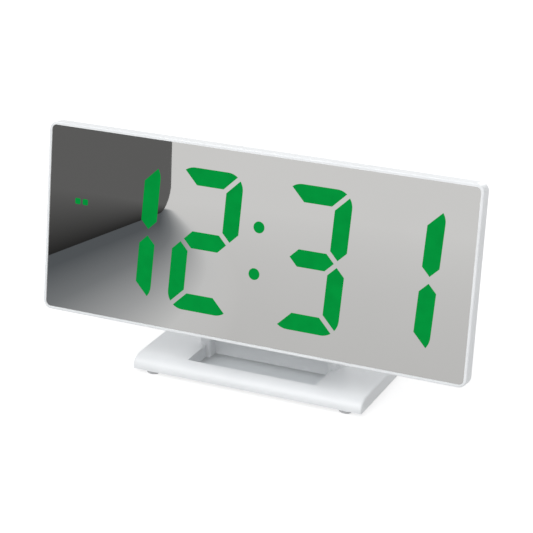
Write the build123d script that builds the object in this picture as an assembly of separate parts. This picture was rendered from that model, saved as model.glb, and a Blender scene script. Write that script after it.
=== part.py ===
from build123d import *
import math
import os

# Digital mirror clock: a mirror-faced head on a friction hinge, over a low stand with a window in it.
# Row frame: +Z up, +X to the reader's right, the face looks along -Y, origin on the table under the
# middle of the stand.  The head is drawn upright in its own frame (X right, Y depth back from the
# face, Z up from its lower edge) and then leant back.  Lengths in millimetres, angles in degrees.

# Head as a whole
head_width = 186.0
head_height = 79.0
head_corner = 3.5
head_tilt = 8.7
head_lift = 21.2
face_setback = 0.1
overrun = 1.0

# Front frame round the mirror
frame_depth = 5.6
frame_wall = 1.8
frame_round = 0.6
rim_width = 1.25
ledge_width = 6.0
ledge_thickness = 1.4

# Mirror panel
panel_sink = 0.3
panel_thickness = 1.5
panel_clearance = 0.05
panel_corner = 2.0

# Digits, slanted seven-segment figures
digit_margin = 2.95
digit_width = 28.4
digit_round = 7.0
digit_slant = 2.6
stroke = 7.0
segment_gap = 1.9
segment_clearance = 0.04
digit_centre_shares = (-0.307, -0.109, 0.143, 0.348)
digit_names = ("hour_tens", "hour_ones", "minute_tens", "minute_ones")
digit_lit = ("bc", "abged", "abgcd", "bc")
colon_centre_share = 0.0145
colon_rise = 9.5
colon_radius = 2.37
pip_centre_shares = (-0.428, -0.409)
pip_rise = 8.0
pip_width = 2.5
pip_round = 0.6

# Display stack behind the mirror
film_thickness = 0.3
reflector_depth = 5.0
reflector_clearance = 1.7
led_width = 2.8
led_height = 3.5
led_thickness = 0.9

# Circuit board and what stands on its back
board_thickness = 1.2
board_clearance = 0.5
board_room = 0.6
board_end_clearance = 1.2
chip_width = 10.0
chip_thickness = 1.6
chip_centre_shares = (-0.29, -0.125)
crystal_length = 11.0
crystal_width = 4.6
crystal_thickness = 3.6
crystal_centre_shares = (-0.29, -0.28)
buzzer_radius = 6.0
buzzer_height = 7.5
buzzer_mouth = 1.2
buzzer_centre_shares = (-0.29, 0.15)
socket_width = 7.6
socket_height = 2.9
socket_length = 7.0
socket_wall = 0.35
socket_tongue = 0.7
socket_overhang = 0.8
socket_clearance = 0.4
socket_rise = -2.0

# Rear cover: a steep edge, then a long slope up to a flat back
cover_wall = 2.4
cover_step = 0.3
edge_room = 2.7
edge_inset = 3.0
edge_corner = 4.5
back_margin = 4.75
back_corner = 10.0
back_round = 2.5
lip_depth = 1.6
lip_root = 2.6
lip_wall = 1.2
lip_clearance = 0.15

# Screws that hold the rear cover to the front frame
screw_inset = 5.6
screw_column_share = 0.333
screw_radius = 1.1
screw_length = 4.4
screw_fit = 0.05
screw_head_radius = 2.0
screw_head_height = 1.4
screw_slot = 0.6
screw_slot_depth = 0.7
sink_clearance = 0.3
boss_radius = 2.3
boss_end = 7.0
boss_floor = 1.0
post_wall = 0.8
post_floor = 1.6

# Screws that hold the board to the reflector
board_screw_radius = 0.8
board_screw_head_radius = 1.7
board_screw_head = 1.1
board_screw_bite_share = 0.56
board_screw_margin = 2.6
board_screw_drop = 4.55

# Battery bay, cells and contacts
cell_count = 3
cell_radius = 5.25
cell_length = 43.7
nub_radius = 1.9
nub_length = 0.8
cell_clearance = 0.3
spring_room = 2.9
plate_room = 1.3
contact_width = 7.0
contact_height = 7.0
contact_thickness = 0.4
contact_touch = 0.05
bay_wall = 1.4
door_thickness = 1.6
door_ledge = 2.4
door_clearance = 0.3
door_corner = 2.5
door_rail = 1.0
door_rail_depth = 1.4
door_ridge_count = 4
door_ridge_length = 14.0
door_ridge_width = 0.9
door_ridge_pitch = 2.0
door_ridge_proud = 0.4
door_ridge_margin = 4.0
door_notch_radius = 6.0
door_notch_depth = 2.2

# Rear buttons and the switches that they press
button_names = ("mode", "alarm", "up", "down", "snooze")
button_column_share = 0.29
button_pitch = 8.4
button_length = 11.0
button_width = 5.0
button_proud = 1.2
button_round = 0.5
button_clearance = 0.3
button_travel = 0.6
button_flange = 1.2
button_flange_depth = 1.0
button_flange_clearance = 0.1
button_stem_radius = 1.6
switch_width = 6.0
switch_height = 3.6
switch_spare = 0.3
plunger_radius = 1.75
plunger_clearance = 0.1
plunger_seat = 0.7
plunger_length = 3.4

# Sound holes over the buzzer
sound_hole_count = 6
sound_hole_radius = 0.8
sound_ring_radius = 3.6

# Stand: a low frame on four feet, hollow below, with a window and a forked neck
base_width = 101.6
base_depth = 46.0
base_thickness = 5.4
base_wall = 2.0
base_end_round = 0.8
base_rear_round = 3.0
crown_length = 6.3
crown_drop = 4.4
window_width = 57.0
window_rail = 6.3
foot_radius = 3.0
foot_height = 1.7
foot_recess = 0.7
foot_chamfer = 0.3
foot_inset_x = 7.9
foot_inset_y = 3.9
foot_boss_wall = 1.2

# Hinge between neck and head
axis_setback = 27.5
axis_height = 26.4
cheek_gap = 53.0
cheek_thickness = 4.6
cheek_radius = 5.0
cheek_round = 0.8
web_setback = 27.4
web_thickness = 2.4
web_clearance = 1.0
gusset_thickness = 2.0
gusset_reach = 14.0
gusset_depth = 8.0
gusset_rise = 9.0
pin_radius = 1.5
pin_clearance = 0.05
pin_sink = 0.5
washer_radius = 3.8
washer_thickness = 0.8
washer_clearance = 0.1
lug_radius = 4.0
lug_width = 9.0
lug_rise = 2.5

# Places worked out from the sizes above
middle = head_height / 2
panel_width = head_width - 2 * rim_width
panel_height = head_height - 2 * rim_width
panel_back = panel_sink + panel_thickness
ledge_back = panel_back + ledge_thickness
opening_width = panel_width - 2 * ledge_width
opening_height = panel_height - 2 * ledge_width
digit_height = opening_height - 2 * digit_margin
reflector_width = opening_width - 2 * reflector_clearance
reflector_height = opening_height - 2 * reflector_clearance
board_screw_rise = reflector_height / 2 - board_screw_drop
film_back = panel_back + film_thickness
reflector_back = film_back + reflector_depth
board_back = reflector_back + board_thickness
edge_depth = board_back + edge_room
bay_floor = board_back + board_room + bay_wall
cell_depth = bay_floor + cell_clearance + cell_radius
door_inside = cell_depth + cell_radius + cell_clearance
head_depth = door_inside + door_thickness
back_inside = head_depth - cover_wall
lip_inset = frame_wall + lip_clearance
board_width = head_width - 2 * (lip_inset + lip_wall + board_end_clearance)
board_height = reflector_height - 2 * board_clearance
button_reach = button_column_share * head_width
screw_reach = screw_column_share * head_width
base_top = foot_height + base_thickness
head_front = face_setback - base_depth / 2
axis_y = axis_setback - base_depth / 2
tilt = math.radians(head_tilt)
axis_depth = (axis_y - head_front) * math.cos(tilt) - (axis_height - head_lift) * math.sin(tilt)
axis_rise = (axis_y - head_front) * math.sin(tilt) + (axis_height - head_lift) * math.cos(tilt)
bay_length = cell_length + nub_length + spring_room + plate_room
cell_pitch = 2 * cell_radius + cell_clearance
bay_height = cell_count * cell_pitch + cell_clearance
door_length = bay_length + 2 * door_ledge
door_height = bay_height + 2 * door_ledge
back_inset = (head_height - door_height) / 2 - back_margin
flange_back = back_inside - button_flange_clearance
flange_front = flange_back - button_flange_depth
switch_back = board_back + switch_height
plunger_front = switch_back - plunger_seat
plunger_back = plunger_front + plunger_length
web_front = web_setback - base_depth / 2
lug_outside = cheek_gap / 2 - washer_thickness - washer_clearance

HEAD_PLACE = Pos(0, head_front, head_lift) * Rot(-head_tilt, 0, 0)


def slab(sketch, front, back):
    """A sketch drawn on the face, about its middle, as a solid from one depth to another."""
    plane = Plane.XZ.offset(-front)
    return extrude(plane * (Pos(0, middle) * sketch), amount=back - front, dir=(0, 1, 0))


def disc(x, rise, radius, front, back):
    """A round bar along the depth, placed from the middle of the face."""
    return slab(Pos(x, rise) * Circle(radius), front, back)


def frame_outline(inset, corner):
    return RectangleRounded(head_width - 2 * inset, head_height - 2 * inset, corner)


def on_face(shares):
    """A place on the head, from the middle of the face, by shares of its width and height."""
    return shares[0] * head_width, shares[1] * head_height


# Digits

half_width = digit_width / 2
half_height = digit_height / 2
mitre = segment_gap / math.sqrt(2)
mitre_angle = math.acos(mitre / (digit_round * math.sqrt(2))) - math.pi / 4


def corner_point(angle):
    """A point on the digit's rounded upper right corner, by its angle from straight up."""
    return (half_width - digit_round + digit_round * math.sin(angle),
            half_height - digit_round + digit_round * math.cos(angle))


def mirrored(points, flip_x, flip_y):
    return [(flip_x * x, flip_y * y) for x, y in points]


def top_bar_edges():
    """Upper bar: a trapezium with mitred ends and rounded outer corners."""
    start = corner_point(0)
    end = corner_point(mitre_angle)
    arc = [start, corner_point(mitre_angle / 2), end]
    inner = (half_width - stroke - mitre, half_height - stroke)
    left_arc = mirrored(arc, -1, 1)
    left_inner = mirrored([inner], -1, 1)[0]
    return [arc, [end, inner], [inner, left_inner], [left_inner, left_arc[2]], left_arc,
            [left_arc[0], start]]


def side_bar_edges():
    """Upper right bar: mitred at the top, pointed at the middle of the digit."""
    start = corner_point(math.pi / 2 - mitre_angle)
    end = corner_point(math.pi / 2)
    arc = [start, corner_point(math.pi / 2 - mitre_angle / 2), end]
    outer = (half_width, stroke / 2 + mitre)
    tip = (half_width - stroke / 2, mitre)
    inner = (half_width - stroke, stroke / 2 + mitre)
    upper = (half_width - stroke, half_height - stroke - mitre)
    return [arc, [end, outer], [outer, tip], [tip, inner], [inner, upper], [upper, start]]


def middle_bar_edges():
    """Middle bar: a long hexagon."""
    tip = half_width - stroke / 2 - mitre
    shoulder = half_width - stroke - mitre
    points = [(tip, 0), (shoulder, stroke / 2), (-shoulder, stroke / 2),
              (-tip, 0), (-shoulder, -stroke / 2), (shoulder, -stroke / 2)]
    return [[points[i], points[(i + 1) % len(points)]] for i in range(len(points))]


SEGMENTS = {
    "a": (top_bar_edges(), 1, 1),
    "b": (side_bar_edges(), 1, 1),
    "c": (side_bar_edges(), 1, -1),
    "d": (top_bar_edges(), 1, -1),
    "e": (side_bar_edges(), -1, -1),
    "f": (side_bar_edges(), -1, 1),
    "g": (middle_bar_edges(), 1, 1),
}


def slanted(x, y, centre):
    return (centre + x + y * math.tan(math.radians(digit_slant)), y)


def segment_face(letter, centre):
    edges, flip_x, flip_y = SEGMENTS[letter]
    lines = []
    for points in edges:
        placed = [slanted(x, y, centre) for x, y in mirrored(points, flip_x, flip_y)]
        lines.append(Line(*placed) if len(placed) == 2 else ThreePointArc(*placed))
    return make_face(lines)


def digit_faces(index, letters):
    centre = digit_centre_shares[index] * panel_width
    return [segment_face(letter, centre) for letter in letters]


def colon_faces():
    centre = colon_centre_share * panel_width
    return [Pos(*slanted(0, rise, centre)) * Circle(colon_radius) for rise in (colon_rise, -colon_rise)]


def pip_faces():
    return [Pos(share * panel_width, pip_rise) * RectangleRounded(pip_width, pip_width, pip_round)
            for share in pip_centre_shares]


def lit_groups():
    """The lit faces of each display node, by name."""
    groups = {name + "_segments": digit_faces(i, digit_lit[i]) for i, name in enumerate(digit_names)}
    groups["colon_dots"] = colon_faces()
    groups["indicator_pips"] = pip_faces()
    return groups


def all_cells():
    """Every cell of the display, lit or not."""
    cells = [face for i in range(len(digit_names)) for face in digit_faces(i, "abcdefg")]
    return cells + colon_faces() + pip_faces()


def lit_pieces():
    """Light pipes of each figure, filling their windows in the mirror from front to back."""
    pieces = {}
    for name, faces in lit_groups().items():
        solids = [slab(offset(face, -segment_clearance), panel_sink, panel_back) for face in faces]
        pieces[name] = Compound([s for solid in solids for s in solid.solids()])
    return pieces


def mirror_panel():
    outline = RectangleRounded(panel_width - 2 * panel_clearance,
                               panel_height - 2 * panel_clearance, panel_corner)
    panel = slab(outline, panel_sink, panel_back)
    for faces in lit_groups().values():
        for face in faces:
            panel -= slab(face, panel_sink - overrun, panel_back + overrun)
    return panel


def diffuser_film():
    return slab(Rectangle(reflector_width, reflector_height), panel_back, film_back)


def segment_reflector():
    """Block with one cell for each segment, dot and pip, and pilot holes for the board's screws."""
    block = slab(Rectangle(reflector_width, reflector_height), film_back, reflector_back)
    for face in all_cells():
        block -= slab(face, film_back - overrun, reflector_back + overrun)
    for x, rise in board_screw_places():
        block -= disc(x, rise, board_screw_radius + screw_fit, film_back, reflector_back + overrun)
    return block


def led_chips():
    """One light-emitting chip in the middle of each cell, small ones under the dots and pips."""
    large = Rectangle(led_width, led_height)
    small = Rectangle(pip_width - pip_round, pip_width - pip_round)
    bars = [face for i in range(len(digit_names)) for face in digit_faces(i, "abcdefg")]
    chips = [(face, large) for face in bars] + [(face, small) for face in colon_faces() + pip_faces()]
    solids = []
    for face, chip in chips:
        place = Pos(face.center().X, face.center().Y)
        solids += slab(place * chip, reflector_back - led_thickness, reflector_back).solids()
    return Compound(solids)


# Board and what it carries

def board_screw_places():
    reach = reflector_width / 2 - board_screw_margin
    return [(x, rise) for x in (-reach, reach) for rise in (-board_screw_rise, board_screw_rise)]


def circuit_board():
    board = slab(Rectangle(board_width, board_height), reflector_back, board_back)
    for x, rise in board_screw_places():
        board -= disc(x, rise, board_screw_radius + screw_fit,
                      reflector_back - overrun, board_back + overrun)
    return board


def board_screws():
    screws = []
    shank_end = reflector_back - board_screw_bite_share * reflector_depth
    for x, rise in board_screw_places():
        shank = disc(x, rise, board_screw_radius, shank_end, board_back)
        cap = disc(x, rise, board_screw_head_radius, board_back, board_back + board_screw_head)
        screws += (shank + cap).solids()
    return Compound(screws)


def controller_chip():
    outline = Pos(*on_face(chip_centre_shares)) * Rectangle(chip_width, chip_width)
    return slab(outline, board_back, board_back + chip_thickness)


def clock_crystal():
    can = Pos(*on_face(crystal_centre_shares)) * SlotOverall(crystal_length, crystal_width)
    return slab(can, board_back, board_back + crystal_thickness)


def buzzer():
    x, rise = on_face(buzzer_centre_shares)
    top = board_back + buzzer_height
    body = disc(x, rise, buzzer_radius, board_back, top)
    return body - disc(x, rise, buzzer_mouth, top - buzzer_height / 2, top + overrun)


def socket_end():
    """The left end of the power socket, which stands a little past the board's edge."""
    return -board_width / 2 - socket_overhang


def usb_socket():
    shell_middle = board_back + socket_height / 2
    shell = Pos(socket_end() + socket_length / 2, shell_middle, middle + socket_rise) * Box(
        socket_length, socket_height, socket_width)
    inner_length = socket_length - 2 * socket_wall
    hollow = Pos(socket_end() + inner_length / 2 - overrun, shell_middle, middle + socket_rise) * Box(
        inner_length + 2 * overrun, socket_height - 2 * socket_wall, socket_width - 2 * socket_wall)
    tongue = Pos(socket_end() + socket_length / 2 + socket_wall, shell_middle, middle + socket_rise) * Box(
        inner_length, socket_tongue, socket_width - 4 * socket_wall)
    return shell - hollow + tongue


# Front frame

def screw_places():
    reach = middle - screw_inset
    return [(x, rise) for x in (-screw_reach, screw_reach) for rise in (-reach, reach)]


def front_frame():
    ring = slab(frame_outline(0, head_corner), 0, frame_depth)
    ring = fillet(ring.faces().sort_by(Axis.Y)[0].edges(), frame_round)
    seat = RectangleRounded(panel_width, panel_height, panel_corner + panel_clearance)
    ring -= slab(seat, -overrun, panel_back)
    ring -= slab(Rectangle(opening_width, opening_height), panel_back - overrun, ledge_back + overrun)
    ring -= slab(frame_outline(frame_wall, head_corner - frame_wall), ledge_back, frame_depth + overrun)
    for x, rise in screw_places():
        ring += disc(x, rise, boss_radius, panel_back + boss_floor, boss_end)
    for x, rise in screw_places():
        ring -= disc(x, rise, screw_radius + screw_fit, ledge_back, boss_end + overrun)
    return ring


# Rear cover

def cover_block(forward, back_edge):
    """The cover's outer form, moved forward by a wall for its inside, with its back edge rounded or not."""
    sections = ((frame_depth, cover_step, head_corner - cover_step),
                (edge_depth, edge_inset, edge_corner),
                (head_depth, back_inset, back_corner))
    rings = [Plane.XZ.offset(forward - depth) * (Pos(0, middle) * frame_outline(inset, corner))
             for depth, inset, corner in sections]
    block = loft(rings, ruled=True)
    if back_edge:
        block = fillet(block.faces().sort_by(Axis.Y)[-1].edges(), back_edge)
    return block


def hinge_lugs():
    """Two knuckles that reach from the lower slope of the cover to the hinge axis."""
    low = axis_rise - lug_radius
    shoulder = lug_radius / math.sqrt(2)
    points = ((edge_depth, low), (axis_depth, low), (axis_depth + shoulder, axis_rise + shoulder),
              (head_depth, back_inset + lug_rise), (back_inside, back_inset + lug_rise))
    web = make_face(Polyline(*points, close=True)) + Pos(axis_depth, axis_rise) * Circle(lug_radius)
    lugs = []
    for inner in (lug_outside - lug_width, -lug_outside):
        lugs.append(extrude(Plane.YZ.offset(inner) * web, lug_width))
    return lugs


def cover_lip():
    front = frame_depth - lip_depth
    back = frame_depth + lip_root
    corner = head_corner - frame_wall
    inner_inset = lip_inset + lip_wall
    lip = slab(frame_outline(lip_inset, corner - lip_clearance), front, back)
    return lip - slab(Rectangle(head_width - 2 * inner_inset, head_height - 2 * inner_inset),
                      front - overrun, back + overrun)


def screw_posts(form):
    """Posts round the cover's screws, trimmed to the cover's outer form."""
    radius = screw_head_radius + sink_clearance + post_wall
    return [disc(x, rise, radius, boss_end, head_depth) & form for x, rise in screw_places()]


def bay_block():
    outline = Rectangle(bay_length + 2 * bay_wall, bay_height + 2 * bay_wall)
    return slab(outline, bay_floor - bay_wall, back_inside + door_clearance)


def bay_cuts():
    """The bay itself, the rebate that the door lies in, and a finger notch at its upper edge."""
    bay = slab(Rectangle(bay_length, bay_height), bay_floor, head_depth + overrun)
    rebate = slab(RectangleRounded(door_length + 2 * door_clearance, door_height + 2 * door_clearance,
                          door_corner + door_clearance), door_inside, head_depth + overrun)
    notch = disc(0, door_height / 2 + door_notch_depth - door_notch_radius, door_notch_radius,
                 door_inside, head_depth + overrun)
    return [bay, rebate, notch]


def button_places():
    first = -(len(button_names) - 1) / 2
    return [(button_reach, -(first + i) * button_pitch) for i in range(len(button_names))]


def sound_places():
    x, rise = on_face(buzzer_centre_shares)
    ring = [(x + sound_ring_radius * math.cos(2 * math.pi * i / sound_hole_count),
             rise + sound_ring_radius * math.sin(2 * math.pi * i / sound_hole_count))
            for i in range(sound_hole_count)]
    return ring + [(x, rise)]


def socket_mouth():
    """The slot through the cover's left wall, from outside the head to half way along the socket."""
    reach = head_width / 2 + socket_end() + socket_length / 2
    return Pos((reach - head_width) / 2, board_back + socket_height / 2, middle + socket_rise) * Box(
        reach, socket_height + 2 * socket_clearance, socket_width + 2 * socket_clearance)


def rear_cover():
    form = cover_block(0, back_round)
    cover = form
    for lug in hinge_lugs():
        cover += lug
    cover -= cover_block(cover_wall, 0)
    cover += cover_lip()
    for post in screw_posts(form):
        cover += post
    cover += bay_block()
    for cut in bay_cuts():
        cover -= cut
    for x, rise in screw_places():
        cover -= disc(x, rise, screw_radius + screw_fit, boss_end - overrun, head_depth)
        cover -= disc(x, rise, screw_head_radius + sink_clearance, boss_end + post_floor, head_depth)
    for x, rise in button_places():
        hole = SlotOverall(button_length + 2 * button_clearance, button_width + 2 * button_clearance)
        cover -= slab(Pos(x, rise) * hole, back_inside - overrun, head_depth + overrun)
    for x, rise in sound_places():
        cover -= disc(x, rise, sound_hole_radius, back_inside - overrun, head_depth + overrun)
    cover -= socket_mouth()
    bore = Cylinder(pin_radius + pin_clearance, cheek_gap, rotation=(0, 90, 0))
    return cover - Pos(0, axis_depth, axis_rise) * bore


def cover_screws():
    screws = []
    seat = boss_end + post_floor
    for x, rise in screw_places():
        screw = disc(x, rise, screw_radius, seat - screw_length, seat)
        screw += disc(x, rise, screw_head_radius, seat, seat + screw_head_height)
        top = seat + screw_head_height
        for width, height in ((2 * screw_radius, screw_slot), (screw_slot, 2 * screw_radius)):
            screw -= slab(Pos(x, rise) * Rectangle(width, height), top - screw_slot_depth, top + overrun)
        screws += screw.solids()
    return Compound(screws)


# Battery bay contents

def cell_rows():
    """Each cell's rise and which way its nub points, turned about from row to row."""
    first = -(cell_count - 1) / 2
    return [((first + i) * cell_pitch, 1 if i % 2 == 0 else -1) for i in range(cell_count)]


def battery_cell(rise, way):
    jacket = Cylinder(cell_radius, cell_length, rotation=(0, 90, 0))
    nub = Cylinder(nub_radius, nub_length, rotation=(0, 90, 0))
    nub = Pos(way * (cell_length + nub_length) / 2, 0, 0) * nub
    shift = way * (spring_room - plate_room - nub_length) / 2
    return Pos(shift, cell_depth, middle + rise) * (jacket + nub)


def contact_plate(rise, way):
    """Flat plate at the end of the bay towards which way points."""
    x = way * (bay_length - contact_thickness) / 2
    plate = Box(contact_thickness, contact_height, contact_width)
    return Pos(x, cell_depth, middle + rise) * plate


def battery_plates():
    """Contacts for the nubs: a plate with a raised button."""
    reach = plate_room - contact_thickness - contact_touch
    plates = []
    for rise, way in cell_rows():
        x = way * (bay_length / 2 - contact_thickness - reach / 2)
        knob = Pos(x, cell_depth, middle + rise) * Cylinder(nub_radius, reach, rotation=(0, 90, 0))
        plates += (contact_plate(rise, way) + knob).solids()
    return Compound(plates)


def battery_springs():
    """Contacts for the flat ends: a plate with a bowed leaf."""
    springs = []
    half = contact_height / 2
    bow = spring_room - contact_touch
    for rise, way in cell_rows():
        outer = [(contact_thickness, -half), (bow, 0), (contact_thickness, half)]
        inner = [(contact_thickness, contact_thickness - half), (bow - contact_thickness, 0),
                 (contact_thickness, half - contact_thickness)]
        leaf = make_face([ThreePointArc(*outer), Line(outer[2], inner[2]),
                          ThreePointArc(*inner), Line(inner[0], outer[0])])
        band = Pos(0, 0, -contact_width / 2) * extrude(leaf, contact_width)
        band = Pos(-bay_length / 2, cell_depth, middle + rise) * band
        band = band if way > 0 else mirror(band, Plane.YZ)
        springs += (contact_plate(rise, -way) + band).solids()
    return Compound(springs)


def battery_door():
    door = slab(RectangleRounded(door_length, door_height, door_corner), door_inside, head_depth)
    rail_rise = bay_height / 2 - door_clearance - door_rail / 2
    for rise in (-rail_rise, rail_rise):
        rail = Pos(0, rise) * Rectangle(bay_length - 2 * spring_room, door_rail)
        door += slab(rail, door_inside - door_rail_depth, door_inside)
    for i in range(door_ridge_count):
        rise = door_height / 2 - door_ridge_margin - i * door_ridge_pitch
        ridge = Pos(0, rise) * SlotOverall(door_ridge_length, door_ridge_width)
        door += slab(ridge, head_depth, head_depth + door_ridge_proud)
    return door


# Buttons and switches

def button(x, rise):
    outline = Pos(x, rise) * SlotOverall(button_length, button_width)
    cap = slab(outline, flange_front, head_depth + button_proud)
    cap = fillet(cap.faces().sort_by(Axis.Y)[-1].edges(), button_round)
    flange = SlotOverall(button_length + 2 * button_flange, button_width + 2 * button_flange)
    cap += slab(Pos(x, rise) * flange, flange_front, flange_back)
    return cap + disc(x, rise, button_stem_radius, plunger_back, flange_front)


def tact_switch(x, rise):
    body = slab(Pos(x, rise) * Rectangle(switch_width, switch_width), board_back, switch_back)
    well = plunger_front - button_travel - switch_spare
    return body - disc(x, rise, plunger_radius + plunger_clearance, well, switch_back + overrun)


def switch_plunger(x, rise):
    return disc(x, rise, plunger_radius, plunger_front, plunger_back)


# Stand

def cheeks():
    """Two ears that rise from the base to the hinge axis, with rounded tops and softened edges."""
    profile = Rectangle(2 * cheek_radius, axis_height - foot_height)
    profile = Pos(axis_y, (foot_height + axis_height) / 2) * profile
    profile += Pos(axis_y, axis_height) * Circle(cheek_radius)
    ears = []
    for inner in (cheek_gap / 2, -cheek_gap / 2 - cheek_thickness):
        ear = extrude(Plane.YZ.offset(inner) * profile, cheek_thickness)
        rims = [edge for side in ear.faces().filter_by(Axis.X) for edge in side.edges()
                if edge.center().Z > base_top]
        ears.append(fillet(rims, cheek_round))
    return ears


def neck_web():
    """Plate between the ears, low enough for the lugs to turn over it, with gussets behind."""
    top = axis_height - lug_radius - web_clearance
    plate = Pos(0, web_front + web_thickness / 2, (foot_height + top) / 2) * Box(
        cheek_gap, web_thickness, top - foot_height)
    rear = web_front + web_thickness
    rib = make_face(Polyline((rear, base_top + gusset_rise), (rear + gusset_depth, base_top),
                             (rear + gusset_depth, foot_height), (rear, foot_height), close=True))
    for x in (-gusset_reach, gusset_reach):
        plate += extrude(Plane.YZ.offset(x - gusset_thickness / 2) * rib, gusset_thickness)
    return plate


def foot_places():
    reach_x = base_width / 2 - foot_inset_x
    reach_y = base_depth / 2 - foot_inset_y
    return {"foot_front_left": (-reach_x, -reach_y), "foot_front_right": (reach_x, -reach_y),
            "foot_rear_left": (-reach_x, reach_y), "foot_rear_right": (reach_x, reach_y)}


def window_outline(grow):
    front = window_rail - base_depth / 2
    outline = Rectangle(window_width + 2 * grow, web_front - front + 2 * grow)
    return Pos(0, (front + web_front) / 2) * outline


def base_profile(inset, bottom):
    """Side view of the base, crowned in front and rounded behind, or of the hollow inset from its skin."""
    front = -base_depth / 2
    rear = base_depth / 2
    crown = EllipticalCenterArc((front + crown_length, base_top - crown_drop),
                                crown_length - inset, crown_drop - inset, start_angle=90, arc_size=90)
    heel = CenterArc((rear - base_rear_round, base_top - base_rear_round), base_rear_round - inset, 0, 90)
    below = Polyline(crown @ 1, (front + inset, bottom), (rear - inset, bottom), heel @ 0)
    return make_face([crown, *below.edges(), heel, Line(heel @ 1, crown @ 0)])


def base_bar(inset, bottom):
    """The profile run along the base, short of its ends by the inset."""
    return extrude(Plane.YZ.offset(inset - base_width / 2) * base_profile(inset, bottom),
                   base_width - 2 * inset)


def base_block():
    block = base_bar(0, foot_height)
    ends = block.faces().filter_by(Axis.X)
    rims = [edge for end in ends for edge in end.edges().sort_by(Axis.Z)[1:]]
    return fillet(rims, base_end_round)


def underside_pocket():
    """Hollow below the base, less the window's walls, the neck and the foot bosses."""
    neck_span = cheek_gap + 2 * cheek_thickness + 2 * base_wall
    kept = window_outline(base_wall) + Pos(0, axis_y) * Rectangle(neck_span, 2 * cheek_radius + base_wall)
    for x, y in foot_places().values():
        kept += Pos(x, y) * Circle(foot_radius + foot_boss_wall)
    bottom = foot_height - overrun
    return base_bar(base_wall, bottom) - Pos(0, 0, bottom) * extrude(kept, base_thickness + overrun)


def stand():
    base = base_block()
    base -= underside_pocket()
    base -= Pos(0, 0, foot_height - overrun) * extrude(window_outline(0), base_thickness + 2 * overrun)
    for x, y in foot_places().values():
        recess = Cylinder(foot_radius, foot_recess + overrun)
        base -= Pos(x, y, foot_height + (foot_recess - overrun) / 2) * recess
    for ear in cheeks():
        base += ear
    base += neck_web()
    pin_hole = Cylinder(pin_radius, base_width, rotation=(0, 90, 0))
    return base - Pos(0, axis_y, axis_height) * pin_hole


def rubber_foot(x, y):
    height = foot_height + foot_recess
    foot = Pos(x, y, height / 2) * Cylinder(foot_radius, height)
    return chamfer(foot.edges().sort_by(Axis.Z)[0], foot_chamfer)


def hinge_pin():
    length = cheek_gap + 2 * cheek_thickness - 2 * pin_sink
    return Pos(0, axis_y, axis_height) * Cylinder(pin_radius, length, rotation=(0, 90, 0))


def friction_washer(side):
    ring = Cylinder(washer_radius, washer_thickness) - Cylinder(pin_radius, washer_thickness + overrun)
    place = Pos(side * (cheek_gap - washer_thickness) / 2, axis_y, axis_height)
    return place * Rot(0, 90, 0) * ring


# Assembly

def head_parts():
    parts = {
        "front_frame": front_frame(),
        "mirror_panel": mirror_panel(),
        "diffuser_film": diffuser_film(),
        "segment_reflector": segment_reflector(),
        "led_chips": led_chips(),
        "circuit_board": circuit_board(),
        "board_screws": board_screws(),
        "controller_chip": controller_chip(),
        "clock_crystal": clock_crystal(),
        "buzzer": buzzer(),
        "usb_socket": usb_socket(),
        "rear_cover": rear_cover(),
        "cover_screws": cover_screws(),
        "battery_plates": battery_plates(),
        "battery_springs": battery_springs(),
        "battery_door": battery_door(),
    }
    parts.update(lit_pieces())
    for i, (rise, way) in enumerate(cell_rows()):
        parts["battery_cell_" + str(i + 1)] = battery_cell(rise, way)
    for name, place in zip(button_names, button_places()):
        parts[name + "_button"] = button(*place)
        parts[name + "_switch"] = tact_switch(*place)
        parts[name + "_plunger"] = switch_plunger(*place)
    return {name: HEAD_PLACE * part for name, part in parts.items()}


def stand_parts():
    parts = {
        "stand": stand(),
        "hinge_pin": hinge_pin(),
        "friction_washer_left": friction_washer(-1),
        "friction_washer_right": friction_washer(1),
    }
    for name, place in foot_places().items():
        parts[name] = rubber_foot(*place)
    return parts


os.makedirs("parts", exist_ok=True)
for node, shape in {**stand_parts(), **head_parts()}.items():
    export_step(shape, "parts/" + node + ".step")
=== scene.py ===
import math

import bpy
from mathutils import Matrix, Vector


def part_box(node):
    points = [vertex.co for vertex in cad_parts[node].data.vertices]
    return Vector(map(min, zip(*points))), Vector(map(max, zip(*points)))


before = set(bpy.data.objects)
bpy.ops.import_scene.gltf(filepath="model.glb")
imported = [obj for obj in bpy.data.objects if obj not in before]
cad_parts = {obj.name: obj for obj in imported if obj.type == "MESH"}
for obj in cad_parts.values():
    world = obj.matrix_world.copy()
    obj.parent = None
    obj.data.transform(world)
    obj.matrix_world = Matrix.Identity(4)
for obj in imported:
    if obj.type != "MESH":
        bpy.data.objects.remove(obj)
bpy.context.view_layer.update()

# Looks of the digital mirror clock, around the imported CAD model.
# Metres, in the row frame: +Z up, the face looks along -Y, the table is at zero.

MM = 0.001

# Moulded finishes: colour and roughness
shell_finish = ((0.87, 0.88, 0.89), 0.32)
cover_finish = ((0.85, 0.86, 0.87), 0.48)
film_finish = ((0.8, 0.8, 0.8), 0.6)
reflector_finish = ((0.05, 0.05, 0.05), 0.55)
led_finish = ((0.75, 0.72, 0.4), 0.2)
resin_finish = ((0.03, 0.03, 0.03), 0.5)
switch_finish = ((0.04, 0.04, 0.04), 0.45)
plunger_finish = ((0.7, 0.7, 0.68), 0.4)
button_finish = ((0.62, 0.62, 0.61), 0.42)
nylon_finish = ((0.75, 0.74, 0.70), 0.45)
rubber_finish = ((0.62, 0.62, 0.63), 0.7)

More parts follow.
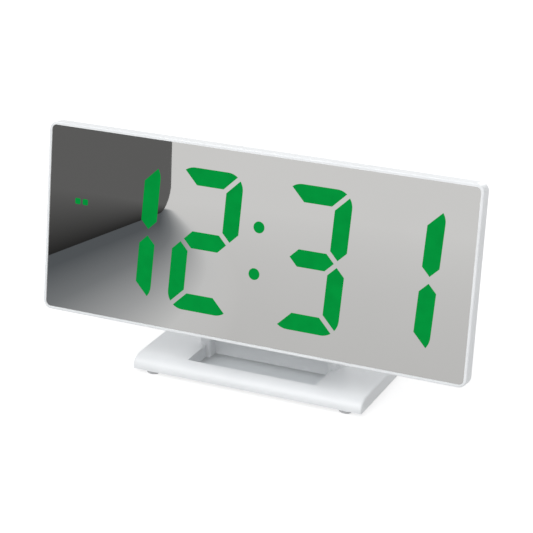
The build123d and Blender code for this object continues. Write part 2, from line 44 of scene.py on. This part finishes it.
# Moulded surfaces: size and depth of the grain, and soft patches that vary tone and gloss
shell_grain = (0.35 * MM, 0.004 * MM)
cover_grain = (0.6 * MM, 0.02 * MM)
rubber_grain = (0.5 * MM, 0.02 * MM)
grain_detail = 3.0
patch_detail = 1.0
tone_patch = 18 * MM
tone_share = 0.02
rubber_tone_share = 0.06
gloss_patch = 9 * MM
gloss_shares = (0.9, 1.1)

# The values that most of a noise lies between
noise_middle = (0.3, 0.7)

# Mirror: tones and the clouds between them, gloss and the marks in it
mirror_tones = ((0.570, 0.566, 0.556), (0.580, 0.576, 0.566))
mirror_cloud = 40 * MM
mirror_cloud_detail = 2.0
mirror_roughness = (0.003, 0.012)
mirror_mark = 14 * MM
mirror_mark_detail = 6.0

# Lit segments: glow and resin as shares of one green
lit_green = (0.0, 0.276, 0.042)
lit_glow_shares = (0.95, 1.05)
lit_resin_shares = (0.02, 0.04)
lit_patch = 5 * MM
lit_patch_detail = 2.0
lit_specular = 0.02
lit_roughness = (0.35, 0.5)
lit_gloss_patch = 3 * MM

# Metals: colour, roughness and how much finer their lines are along each axis
tin_finish = ((0.65, 0.64, 0.61), 0.25, (1.0, 8.0, 8.0))
steel_finish = ((0.62, 0.62, 0.62), 0.3, (1.0, 10.0, 10.0))
metal_line = 0.3 * MM
metal_line_depth = 0.002 * MM
metal_line_detail = 2.0
metal_tone_shares = (0.9, 1.05)
metal_gloss_shares = (0.8, 1.3)

# Circuit board: copper lines under green lacquer
board_greens = ((0.02, 0.16, 0.07), (0.02, 0.18, 0.08))
board_trace_green = (0.08, 0.26, 0.10)
board_grid = 14 * MM
board_trace_share = 0.03
board_trace_depth = 0.03 * MM
board_roughness = (0.3, 0.45)
board_gloss_patch = 3 * MM

# Battery cells: colours, and where they change as shares of the length from the nub's tip
cell_nub = (0.65, 0.64, 0.61)
cell_band = (0.55, 0.30, 0.12)
cell_body = (0.05, 0.05, 0.055)
cell_nub_share = 0.018
cell_edge_share = 0.001
cell_band_share = 0.28
cell_roughness = (0.25, 0.38)
cell_gloss_patch = 4 * MM
cell_wrinkle = (1.2 * MM, 0.01 * MM)

# Camera, fitted to the edges of the photographed clock
camera_place = (0.2892, -0.6218, 0.3241)
camera_azimuth = 25.0
camera_elevation = 22.0
camera_lens = 124.0
camera_sensor = 36.0

# Light: a world that is brighter on one side, a large key ahead, and weak lamps behind and at the right
world_colour = (0.965, 0.985, 1.0)
world_dim = 0.14
world_bright = 0.87
world_bright_side = (-0.68, -0.20, 0.70)
world_seen = (1.0, 1.0, 1.0)
key_place = (-0.40, -1.04, 1.16)
key_size = 1.3
key_power = 10.6
rear_place = (0.06, 1.05, 0.34)
rear_size = 0.4
rear_power = 1.3
side_place = (1.0, -0.10, 0.60)
side_size = 0.6
side_power = 1.4
lamp_aim = (0.0, 0.0, 0.05)

# Floor: what it gives back to the scene, and what the camera and the mirror see of it.
# A glow is a distance from the clock and the strength there. The mirrored glow is lower near the clock:
# painted shade on the floor in the mirror.
floor_size = 8.0
floor_shade = (0.66, 0.66, 0.66)
floor_seen_shade = (0.36, 0.36, 0.36)
floor_glow_near = (0.12, 0.77)
floor_glow_far = (0.60, 1.0)
mirrored_near_shade = (0.15, 0.84)
mirrored_far = (1.0, 1.0)
patch_shade = (0.82, 0.85, 0.865)
patch_glow = 0.07
patch_margin = 0.006

# Painted reflection: a dark card ahead of the clock on the left, which only the mirror shows.
# Its places are measured along its foot from card_far, and upwards.
card_far = (-0.431, -0.823)
card_turn = 72.4
card_span = (0.049, 0.56)
card_height = 0.40
card_lean = 0.6
card_corner = (0.045, 0.020)
card_corner_steps = 6
# Tones of the card's glow: the darker one, along its foot, is painted shade
card_tones = (0.029, 0.176)
card_foot_shade_slope = 0.085

# The card's shadow on the floor: fades by slope about the apex, by depth and to its far end, and its tones
shadow_span = (0.025, 0.80)
shadow_behind = 0.06
shadow_lift = 0.2 * MM
shadow_apex = (-0.038, -0.0192)
shadow_slopes = (0.155, 0.314)
shadow_depths = (0.014, 0.155)
shadow_end = 0.055
shadow_tint = (-0.09, 0.0, 0.09)
shadow_tones = ((0.0, 0.148), (0.25, 0.297), (0.5, 0.575), (0.72, 0.90), (1.0, 0.97))


# Node helpers

def new_material(name):
    """A node material, its tree and its main shader."""
    material = bpy.data.materials.new(name)
    material.use_nodes = True
    tree = material.node_tree
    return material, tree, tree.nodes["Principled BSDF"]


def feed(tree, socket, value):
    """Link another node's output to a socket, or set a plain value on it."""
    if isinstance(value, bpy.types.NodeSocket):
        tree.links.new(value, socket)
    else:
        socket.default_value = value


def opaque(colour):
    return (*colour, 1.0)


def scaled(values, share):
    return tuple(value * share for value in values)


def object_place(tree, stretch=(1.0, 1.0, 1.0)):
    """Places on the object in metres, stretched for grain that runs one way."""
    coordinates = tree.nodes.new("ShaderNodeTexCoord")
    mapping = tree.nodes.new("ShaderNodeMapping")
    feed(tree, mapping.inputs["Scale"], stretch)
    feed(tree, mapping.inputs["Vector"], coordinates.outputs["Object"])
    return mapping.outputs["Vector"]


def axes(tree):
    """The X, Y and Z of places on the object."""
    split = tree.nodes.new("ShaderNodeSeparateXYZ")
    feed(tree, split.inputs["Vector"], object_place(tree))
    return split.outputs


def noise(tree, size, detail=grain_detail, stretch=(1.0, 1.0, 1.0)):
    """A noise whose patches are about as wide as size."""
    node = tree.nodes.new("ShaderNodeTexNoise")
    feed(tree, node.inputs["Scale"], 1.0 / size)
    feed(tree, node.inputs["Detail"], detail)
    feed(tree, node.inputs["Vector"], object_place(tree, stretch))
    return node.outputs["Fac"]


def calculate(tree, operation, first, second):
    node = tree.nodes.new("ShaderNodeMath")
    node.operation = operation
    feed(tree, node.inputs[0], first)
    feed(tree, node.inputs[1], second)
    return node.outputs["Value"]


def calculate_vector(tree, operation, first):
    """A vector node for one operation, fed with its first vector."""
    node = tree.nodes.new("ShaderNodeVectorMath")
    node.operation = operation
    feed(tree, node.inputs[0], first)
    return node


def map_range(tree, value, low, high):
    """Maps the value from the first numbers of low and high to their second ones."""
    node = tree.nodes.new("ShaderNodeMapRange")
    feed(tree, node.inputs["From Min"], low[0])
    feed(tree, node.inputs["From Max"], high[0])
    feed(tree, node.inputs["To Min"], low[1])
    feed(tree, node.inputs["To Max"], high[1])
    feed(tree, node.inputs["Value"], value)
    return node.outputs["Result"]


def spread(tree, factor, limits=(0.0, 1.0)):
    """The middle range of a noise, spread between the limits."""
    return map_range(tree, factor, (noise_middle[0], limits[0]), (noise_middle[1], limits[1]))


def blend_colours(tree, factor, first, second):
    node = tree.nodes.new("ShaderNodeMix")
    node.data_type = "RGBA"
    feed(tree, node.inputs["A"], first)
    feed(tree, node.inputs["B"], second)
    feed(tree, node.inputs["Factor"], factor)
    return node.outputs["Result"]


def blend_shares(tree, factor, colour, shares):
    """A blend between two shares of one colour."""
    low, high = [opaque(scaled(colour, share)) for share in shares]
    return blend_colours(tree, factor, low, high)


def colour_ramp(tree, factor, stops, interpolation):
    """Colours along a factor, from pairs of a position and a colour with its alpha."""
    ramp = tree.nodes.new("ShaderNodeValToRGB")
    ramp.color_ramp.interpolation = interpolation
    elements = ramp.color_ramp.elements
    for position, colour in stops[1:-1]:
        elements.new(position)
    for element, (position, colour) in zip(elements, stops):
        element.position = position
        element.color = colour
    feed(tree, ramp.inputs["Fac"], factor)
    return ramp


def bump(tree, shader, height, depth):
    node = tree.nodes.new("ShaderNodeBump")
    feed(tree, node.inputs["Strength"], 1.0)
    feed(tree, node.inputs["Distance"], depth)
    feed(tree, node.inputs["Height"], height)
    feed(tree, shader.inputs["Normal"], node.outputs["Normal"])


# Materials

def moulded(name, finish, grain=shell_grain, share=tone_share):
    """Moulded surface: faint mottling, uneven gloss and a fine grain."""
    material, tree, shader = new_material(name)
    colour, roughness = finish
    patches = spread(tree, noise(tree, tone_patch, patch_detail))
    feed(tree, shader.inputs["Base Color"], blend_shares(tree, patches, colour, (1 - share, 1 + share)))
    gloss = spread(tree, noise(tree, gloss_patch, patch_detail), scaled(gloss_shares, roughness))
    feed(tree, shader.inputs["Roughness"], gloss)
    size, depth = grain
    bump(tree, shader, noise(tree, size), depth)
    return material


def mirror_acrylic(name):
    """Half-mirror sheet: a dim grey mirror with faint cloudy marks in its gloss."""
    material, tree, shader = new_material(name)
    clouds = spread(tree, noise(tree, mirror_cloud, mirror_cloud_detail))
    dark, pale = [opaque(tone) for tone in mirror_tones]
    feed(tree, shader.inputs["Base Color"], blend_colours(tree, clouds, dark, pale))
    gloss = spread(tree, noise(tree, mirror_mark, mirror_mark_detail), mirror_roughness)
    feed(tree, shader.inputs["Roughness"], gloss)
    feed(tree, shader.inputs["Metallic"], 1.0)
    return material


def lit_segment(name):
    """Lit light pipe: an even glow over dark green resin."""
    material, tree, shader = new_material(name)
    patches = spread(tree, noise(tree, lit_patch, lit_patch_detail))
    feed(tree, shader.inputs["Base Color"], blend_shares(tree, patches, lit_green, lit_resin_shares))
    feed(tree, shader.inputs["Emission Color"], blend_shares(tree, patches, lit_green, lit_glow_shares))
    feed(tree, shader.inputs["Emission Strength"], 1.0)
    feed(tree, shader.inputs["Specular IOR Level"], lit_specular)
    feed(tree, shader.inputs["Roughness"], spread(tree, noise(tree, lit_gloss_patch), lit_roughness))
    return material


def brushed_metal(name, finish):
    """Metal with fine lines along one axis."""
    material, tree, shader = new_material(name)
    colour, roughness, run = finish
    lines = noise(tree, metal_line, metal_line_detail, run)
    streaks = spread(tree, lines)
    feed(tree, shader.inputs["Base Color"], blend_shares(tree, streaks, colour, metal_tone_shares))
    feed(tree, shader.inputs["Roughness"], spread(tree, lines, scaled(metal_gloss_shares, roughness)))
    feed(tree, shader.inputs["Metallic"], 1.0)
    bump(tree, shader, lines, metal_line_depth)
    return material


def battery_sleeve(name, tip, foot):
    """Battery along X from the nub's tip to its foot: bare nub, then a coloured band and a dark body."""
    material, tree, shader = new_material(name)
    along = map_range(tree, axes(tree)["X"], (tip, 0.0), (foot, 1.0))
    starts = ((0.0, cell_nub), (cell_nub_share, cell_band), (cell_band_share, cell_body))
    stops = [(start, opaque(colour)) for start, colour in starts]
    ramp = colour_ramp(tree, along, stops, "CONSTANT")
    feed(tree, shader.inputs["Base Color"], ramp.outputs["Color"])
    bare = map_range(tree, along, (cell_nub_share, 1.0), (cell_nub_share + cell_edge_share, 0.0))
    feed(tree, shader.inputs["Metallic"], bare)
    feed(tree, shader.inputs["Roughness"], spread(tree, noise(tree, cell_gloss_patch), cell_roughness))
    size, depth = cell_wrinkle
    bump(tree, shader, noise(tree, size), depth)
    return material


def board_mask(name):
    """Solder mask: copper lines that show faintly through green lacquer."""
    material, tree, shader = new_material(name)
    traces = tree.nodes.new("ShaderNodeTexBrick")
    feed(tree, traces.inputs["Scale"], 1.0 / board_grid)
    feed(tree, traces.inputs["Mortar Size"], board_trace_share)
    feed(tree, traces.inputs["Color1"], opaque(board_greens[0]))
    feed(tree, traces.inputs["Color2"], opaque(board_greens[1]))
    feed(tree, traces.inputs["Mortar"], opaque(board_trace_green))
    feed(tree, traces.inputs["Vector"], object_place(tree))
    feed(tree, shader.inputs["Base Color"], traces.outputs["Color"])
    feed(tree, shader.inputs["Roughness"], spread(tree, noise(tree, board_gloss_patch), board_roughness))
    bump(tree, shader, traces.outputs["Fac"], board_trace_depth)
    return material


# Finishes of the CAD nodes

def paint(material, *names):
    """Give CAD nodes their material."""
    for name in names:
        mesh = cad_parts[name].data
        mesh.materials.clear()
        mesh.materials.append(material)


def paint_case():
    paint(moulded("white_shell", shell_finish), "front_frame", "stand")
    paint(moulded("white_cover", cover_finish, cover_grain), "rear_cover", "battery_door")
    paint(mirror_acrylic("mirror_acrylic"), "mirror_panel")


def paint_display():
    digits = ("hour_tens", "hour_ones", "minute_tens", "minute_ones")
    lit = lit_segment("lit_green")
    paint(lit, *[digit + "_segments" for digit in digits])
    paint(lit, "colon_dots", "indicator_pips")
    paint(moulded("frosted_film", film_finish), "diffuser_film")
    paint(moulded("dark_moulding", reflector_finish), "segment_reflector")
    paint(moulded("amber_resin", led_finish), "led_chips")


def paint_electronics():
    paint(board_mask("board_mask"), "circuit_board")
    paint(moulded("black_resin", resin_finish), "controller_chip", "buzzer")
    tin = brushed_metal("tinned_steel", tin_finish)
    paint(tin, "clock_crystal", "usb_socket", "battery_plates", "battery_springs")


def paint_buttons():
    switch = moulded("switch_black", switch_finish)
    plunger = moulded("plunger_white", plunger_finish)
    button = moulded("button_grey", button_finish)
    for name in ("mode", "alarm", "up", "down", "snooze"):
        paint(switch, name + "_switch")
        paint(plunger, name + "_plunger")
        paint(button, name + "_button")


def paint_cells():
    """The cells lie head to tail: the first and the third have their nub at the higher X."""
    for i in (1, 2, 3):
        name = "battery_cell_" + str(i)
        low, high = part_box(name)
        tip, foot = (high.x, low.x) if i % 2 else (low.x, high.x)
        paint(battery_sleeve("battery_sleeve_" + str(i), tip, foot), name)


def paint_fittings():
    paint(brushed_metal("plated_steel", steel_finish), "hinge_pin", "cover_screws", "board_screws")
    paint(moulded("nylon", nylon_finish), "friction_washer_left", "friction_washer_right")
    rubber = moulded("grey_rubber", rubber_finish, rubber_grain, rubber_tone_share)
    paint(rubber, "foot_front_left", "foot_front_right", "foot_rear_left", "foot_rear_right")


# Stage

def bare_material(name):
    """A node material with nothing but its output."""
    material, tree, shader = new_material(name)
    tree.nodes.remove(shader)
    return material, tree, tree.nodes["Material Output"].inputs["Surface"]


def emission(tree, strength, colour=(1.0, 1.0, 1.0, 1.0)):
    node = tree.nodes.new("ShaderNodeEmission")
    feed(tree, node.inputs["Color"], colour)
    feed(tree, node.inputs["Strength"], strength)
    return node.outputs["Emission"]


def diffuse(tree, colour):
    node = tree.nodes.new("ShaderNodeBsdfDiffuse")
    feed(tree, node.inputs["Color"], opaque(colour))
    return node.outputs["BSDF"]


def mix_shaders(tree, factor, first, second):
    node = tree.nodes.new("ShaderNodeMixShader")
    feed(tree, node.inputs["Fac"], factor)
    feed(tree, node.inputs[1], first)
    feed(tree, node.inputs[2], second)
    return node.outputs["Shader"]


def add_shaders(tree, first, second):
    node = tree.nodes.new("ShaderNodeAddShader")
    feed(tree, node.inputs[0], first)
    feed(tree, node.inputs[1], second)
    return node.outputs["Shader"]


def sheet(name, corners, faces, material):
    """A flat stage piece."""
    mesh = bpy.data.meshes.new(name)
    mesh.from_pydata(corners, [], faces)
    mesh.materials.append(material)
    piece = bpy.data.objects.new(name, mesh)
    bpy.context.scene.collection.objects.link(piece)
    return piece


def rectangle(half_x, half_y):
    return [(-half_x, -half_y, 0), (half_x, -half_y, 0), (half_x, half_y, 0), (-half_x, half_y, 0)]


def distance_glow(tree, near, far):
    """A glow that changes with the distance from the clock."""
    distance = calculate_vector(tree, "LENGTH", object_place(tree)).outputs["Value"]
    return emission(tree, map_range(tree, distance, near, far))


def floor_material():
    """White to the camera with a faint shadow, plain to the light, and in the mirror paler with distance,
    with painted shade near the clock.
    """
    material, tree, surface = bare_material("floor_white")
    path = tree.nodes.new("ShaderNodeLightPath")
    glow = distance_glow(tree, floor_glow_near, floor_glow_far)
    seen = add_shaders(tree, glow, diffuse(tree, floor_seen_shade))
    # Painted shade: what the mirror shows of the floor glows less near the clock
    mirrored = distance_glow(tree, mirrored_near_shade, mirrored_far)
    direct = mix_shaders(tree, path.outputs["Is Camera Ray"], diffuse(tree, floor_shade), seen)
    feed(tree, surface, mix_shaders(tree, path.outputs["Is Glossy Ray"], direct, mirrored))
    return material


def patch_material():
    """Plain and pale, with a faint glow."""
    material, tree, surface = bare_material("floor_patch_white")
    feed(tree, surface, add_shaders(tree, emission(tree, patch_glow), diffuse(tree, patch_shade)))
    return material


def make_floor():
    """The floor, with a plain patch let in under the stand, which shows only through the stand's window."""
    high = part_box("stand")[1]
    outer = rectangle(floor_size / 2, floor_size / 2)
    inner = rectangle(high.x - patch_margin, high.y - patch_margin)
    ring = [(i, (i + 1) % 4, 4 + (i + 1) % 4, 4 + i) for i in range(4)]
    sheet("floor", outer + inner, ring, floor_material())
    sheet("floor_patch", inner, [(0, 1, 2, 3)], patch_material())


def only_in_mirror(piece):
    """Keep a stage piece out of everything but reflections."""
    piece.visible_camera = False
    piece.visible_diffuse = False
    piece.visible_shadow = False
    piece.visible_transmission = False


def card_place(upright):
    """At the card's far foot, X along its foot to the clock, Y up or across the floor away from it."""
    lean = Matrix.Rotation(math.radians(90 if upright else 180), 4, "X")
    return Matrix.Translation((*card_far, 0)) @ Matrix.Rotation(math.radians(card_turn), 4, "Z") @ lean


def fan_angle(tree, slope):
    """Zero along the local X axis, one at that slope from it, about the local origin."""
    coordinates = tree.nodes.new("ShaderNodeTexCoord")
    radial = tree.nodes.new("ShaderNodeTexGradient")
    radial.gradient_type = "RADIAL"
    feed(tree, radial.inputs["Vector"], coordinates.outputs["Object"])
    ahead = 0.5
    turn = math.atan(slope) / math.tau
    return map_range(tree, radial.outputs["Fac"], (ahead, 0.0), (ahead + turn, 1.0))


def card_material():
    """Painted shade: dark along the foot, paler above it."""
    material, tree, surface = bare_material("card_painted_reflection")
    dark, pale = card_tones
    tone = map_range(tree, fan_angle(tree, card_foot_shade_slope), (0.0, dark), (1.0, pale))
    feed(tree, surface, emission(tree, tone))
    return material


def make_dark_card():
    """A card with a rounded lower far corner and a far edge that leans."""
    far, near = card_span
    along, up = card_corner
    turns = [math.radians(90 * i / card_corner_steps) for i in range(card_corner_steps + 1)]
    corner = [(far + along * (1 - math.cos(turn)), up * (1 - math.sin(turn)), 0) for turn in turns]
    top = far + card_lean * (card_height - up)
    outline = corner + [(near, 0, 0), (near, card_height, 0), (top, card_height, 0)]
    card = sheet("dark_card", outline, [tuple(range(len(outline)))], card_material())
    card.matrix_world = card_place(True)
    only_in_mirror(card)


def shadow_fade(tree):
    """Zero in the dark of the shadow, one past its edge, which fans out from the apex."""
    place = axes(tree)
    run = calculate(tree, "SUBTRACT", place["X"], shadow_apex[0])
    rise = calculate(tree, "SUBTRACT", place["Y"], shadow_apex[1])
    slope = calculate(tree, "DIVIDE", rise, run)
    by_slope = map_range(tree, slope, (shadow_slopes[0], 0.0), (shadow_slopes[1], 1.0))
    by_depth = map_range(tree, place["Y"], (shadow_depths[0], 0.0), (shadow_depths[1], 1.0))
    by_end = map_range(tree, place["X"], (shadow_end, 0.0), (shadow_span[0], 1.0))
    fades = tree.nodes.new("ShaderNodeCombineXYZ")
    feed(tree, fades.inputs["X"], by_slope)
    feed(tree, fades.inputs["Y"], by_depth)
    feed(tree, fades.inputs["Z"], by_end)
    return calculate_vector(tree, "LENGTH", fades.outputs["Vector"]).outputs["Value"]


def shadow_ramp(tree):
    """Cool grey tones from the dark of the shadow to its clear edge."""
    stops = []
    for position, tone in shadow_tones:
        cool = [tone * (1.0 + (1.0 - position) ** 2 * tint) for tint in shadow_tint]
        stops.append((position, (*cool, 0.0 if position == 1.0 else 1.0)))
    return colour_ramp(tree, shadow_fade(tree), stops, "LINEAR")


def shadow_material():
    material, tree, surface = bare_material("card_shadow_grey")
    ramp = shadow_ramp(tree)
    clear = tree.nodes.new("ShaderNodeBsdfTransparent").outputs["BSDF"]
    shade = emission(tree, 1.0, ramp.outputs["Color"])
    feed(tree, surface, mix_shaders(tree, ramp.outputs["Alpha"], clear, shade))
    return material


def make_card_shadow():
    """A sheet just above the floor, carried on behind the card, whose rounded corner shows it."""
    far, near = shadow_span
    depth = shadow_depths[1]
    outline = [(far, -shadow_behind, 0), (near, -shadow_behind, 0), (near, depth, 0), (far, depth, 0)]
    shadow = sheet("card_shadow", outline, [(0, 1, 2, 3)], shadow_material())
    shadow.matrix_world = Matrix.Translation((0, 0, shadow_lift)) @ card_place(False)
    only_in_mirror(shadow)


def world_light(tree):
    """Soft light, brighter from one side."""
    coordinates = tree.nodes.new("ShaderNodeTexCoord")
    facing = calculate_vector(tree, "DOT_PRODUCT", coordinates.outputs["Generated"])
    feed(tree, facing.inputs[1], world_bright_side)
    side = map_range(tree, facing.outputs["Value"], (-1.0, 0.0), (1.0, 1.0))
    return blend_shares(tree, side, world_colour, (world_dim, world_bright))


def make_world():
    """Soft light, and plain white where a camera, glossy or transmission ray looks."""
    world = bpy.data.worlds.new("studio")
    bpy.context.scene.world = world
    world.use_nodes = True
    tree = world.node_tree
    path = tree.nodes.new("ShaderNodeLightPath")
    seen = path.outputs["Is Camera Ray"]
    for kind in ("Is Glossy Ray", "Is Transmission Ray"):
        seen = calculate(tree, "MAXIMUM", seen, path.outputs[kind])
    sky = blend_colours(tree, seen, world_light(tree), opaque(world_seen))
    feed(tree, tree.nodes["Background"].inputs["Color"], sky)


def make_lamp(name, place, size, power):
    data = bpy.data.lights.new(name, "AREA")
    data.energy = power
    data.size = size
    lamp = bpy.data.objects.new(name, data)
    lamp.location = place
    lamp.rotation_euler = (Vector(lamp_aim) - Vector(place)).to_track_quat("-Z", "Y").to_euler()
    bpy.context.scene.collection.objects.link(lamp)


def make_camera():
    data = bpy.data.cameras.new("camera")
    data.lens = camera_lens
    data.sensor_width = camera_sensor
    camera = bpy.data.objects.new("camera", data)
    camera.location = camera_place
    camera.rotation_euler = (math.radians(90 - camera_elevation), 0.0, math.radians(camera_azimuth))
    bpy.context.scene.collection.objects.link(camera)
    bpy.context.scene.camera = camera


paint_case()
paint_display()
paint_electronics()
paint_buttons()
paint_cells()
paint_fittings()
make_floor()
make_dark_card()
make_card_shadow()
make_world()
make_lamp("key", key_place, key_size, key_power)
make_lamp("rear", rear_place, rear_size, rear_power)
make_lamp("side", side_place, side_size, side_power)
make_camera()
bpy.context.scene.view_settings.view_transform = "Standard"
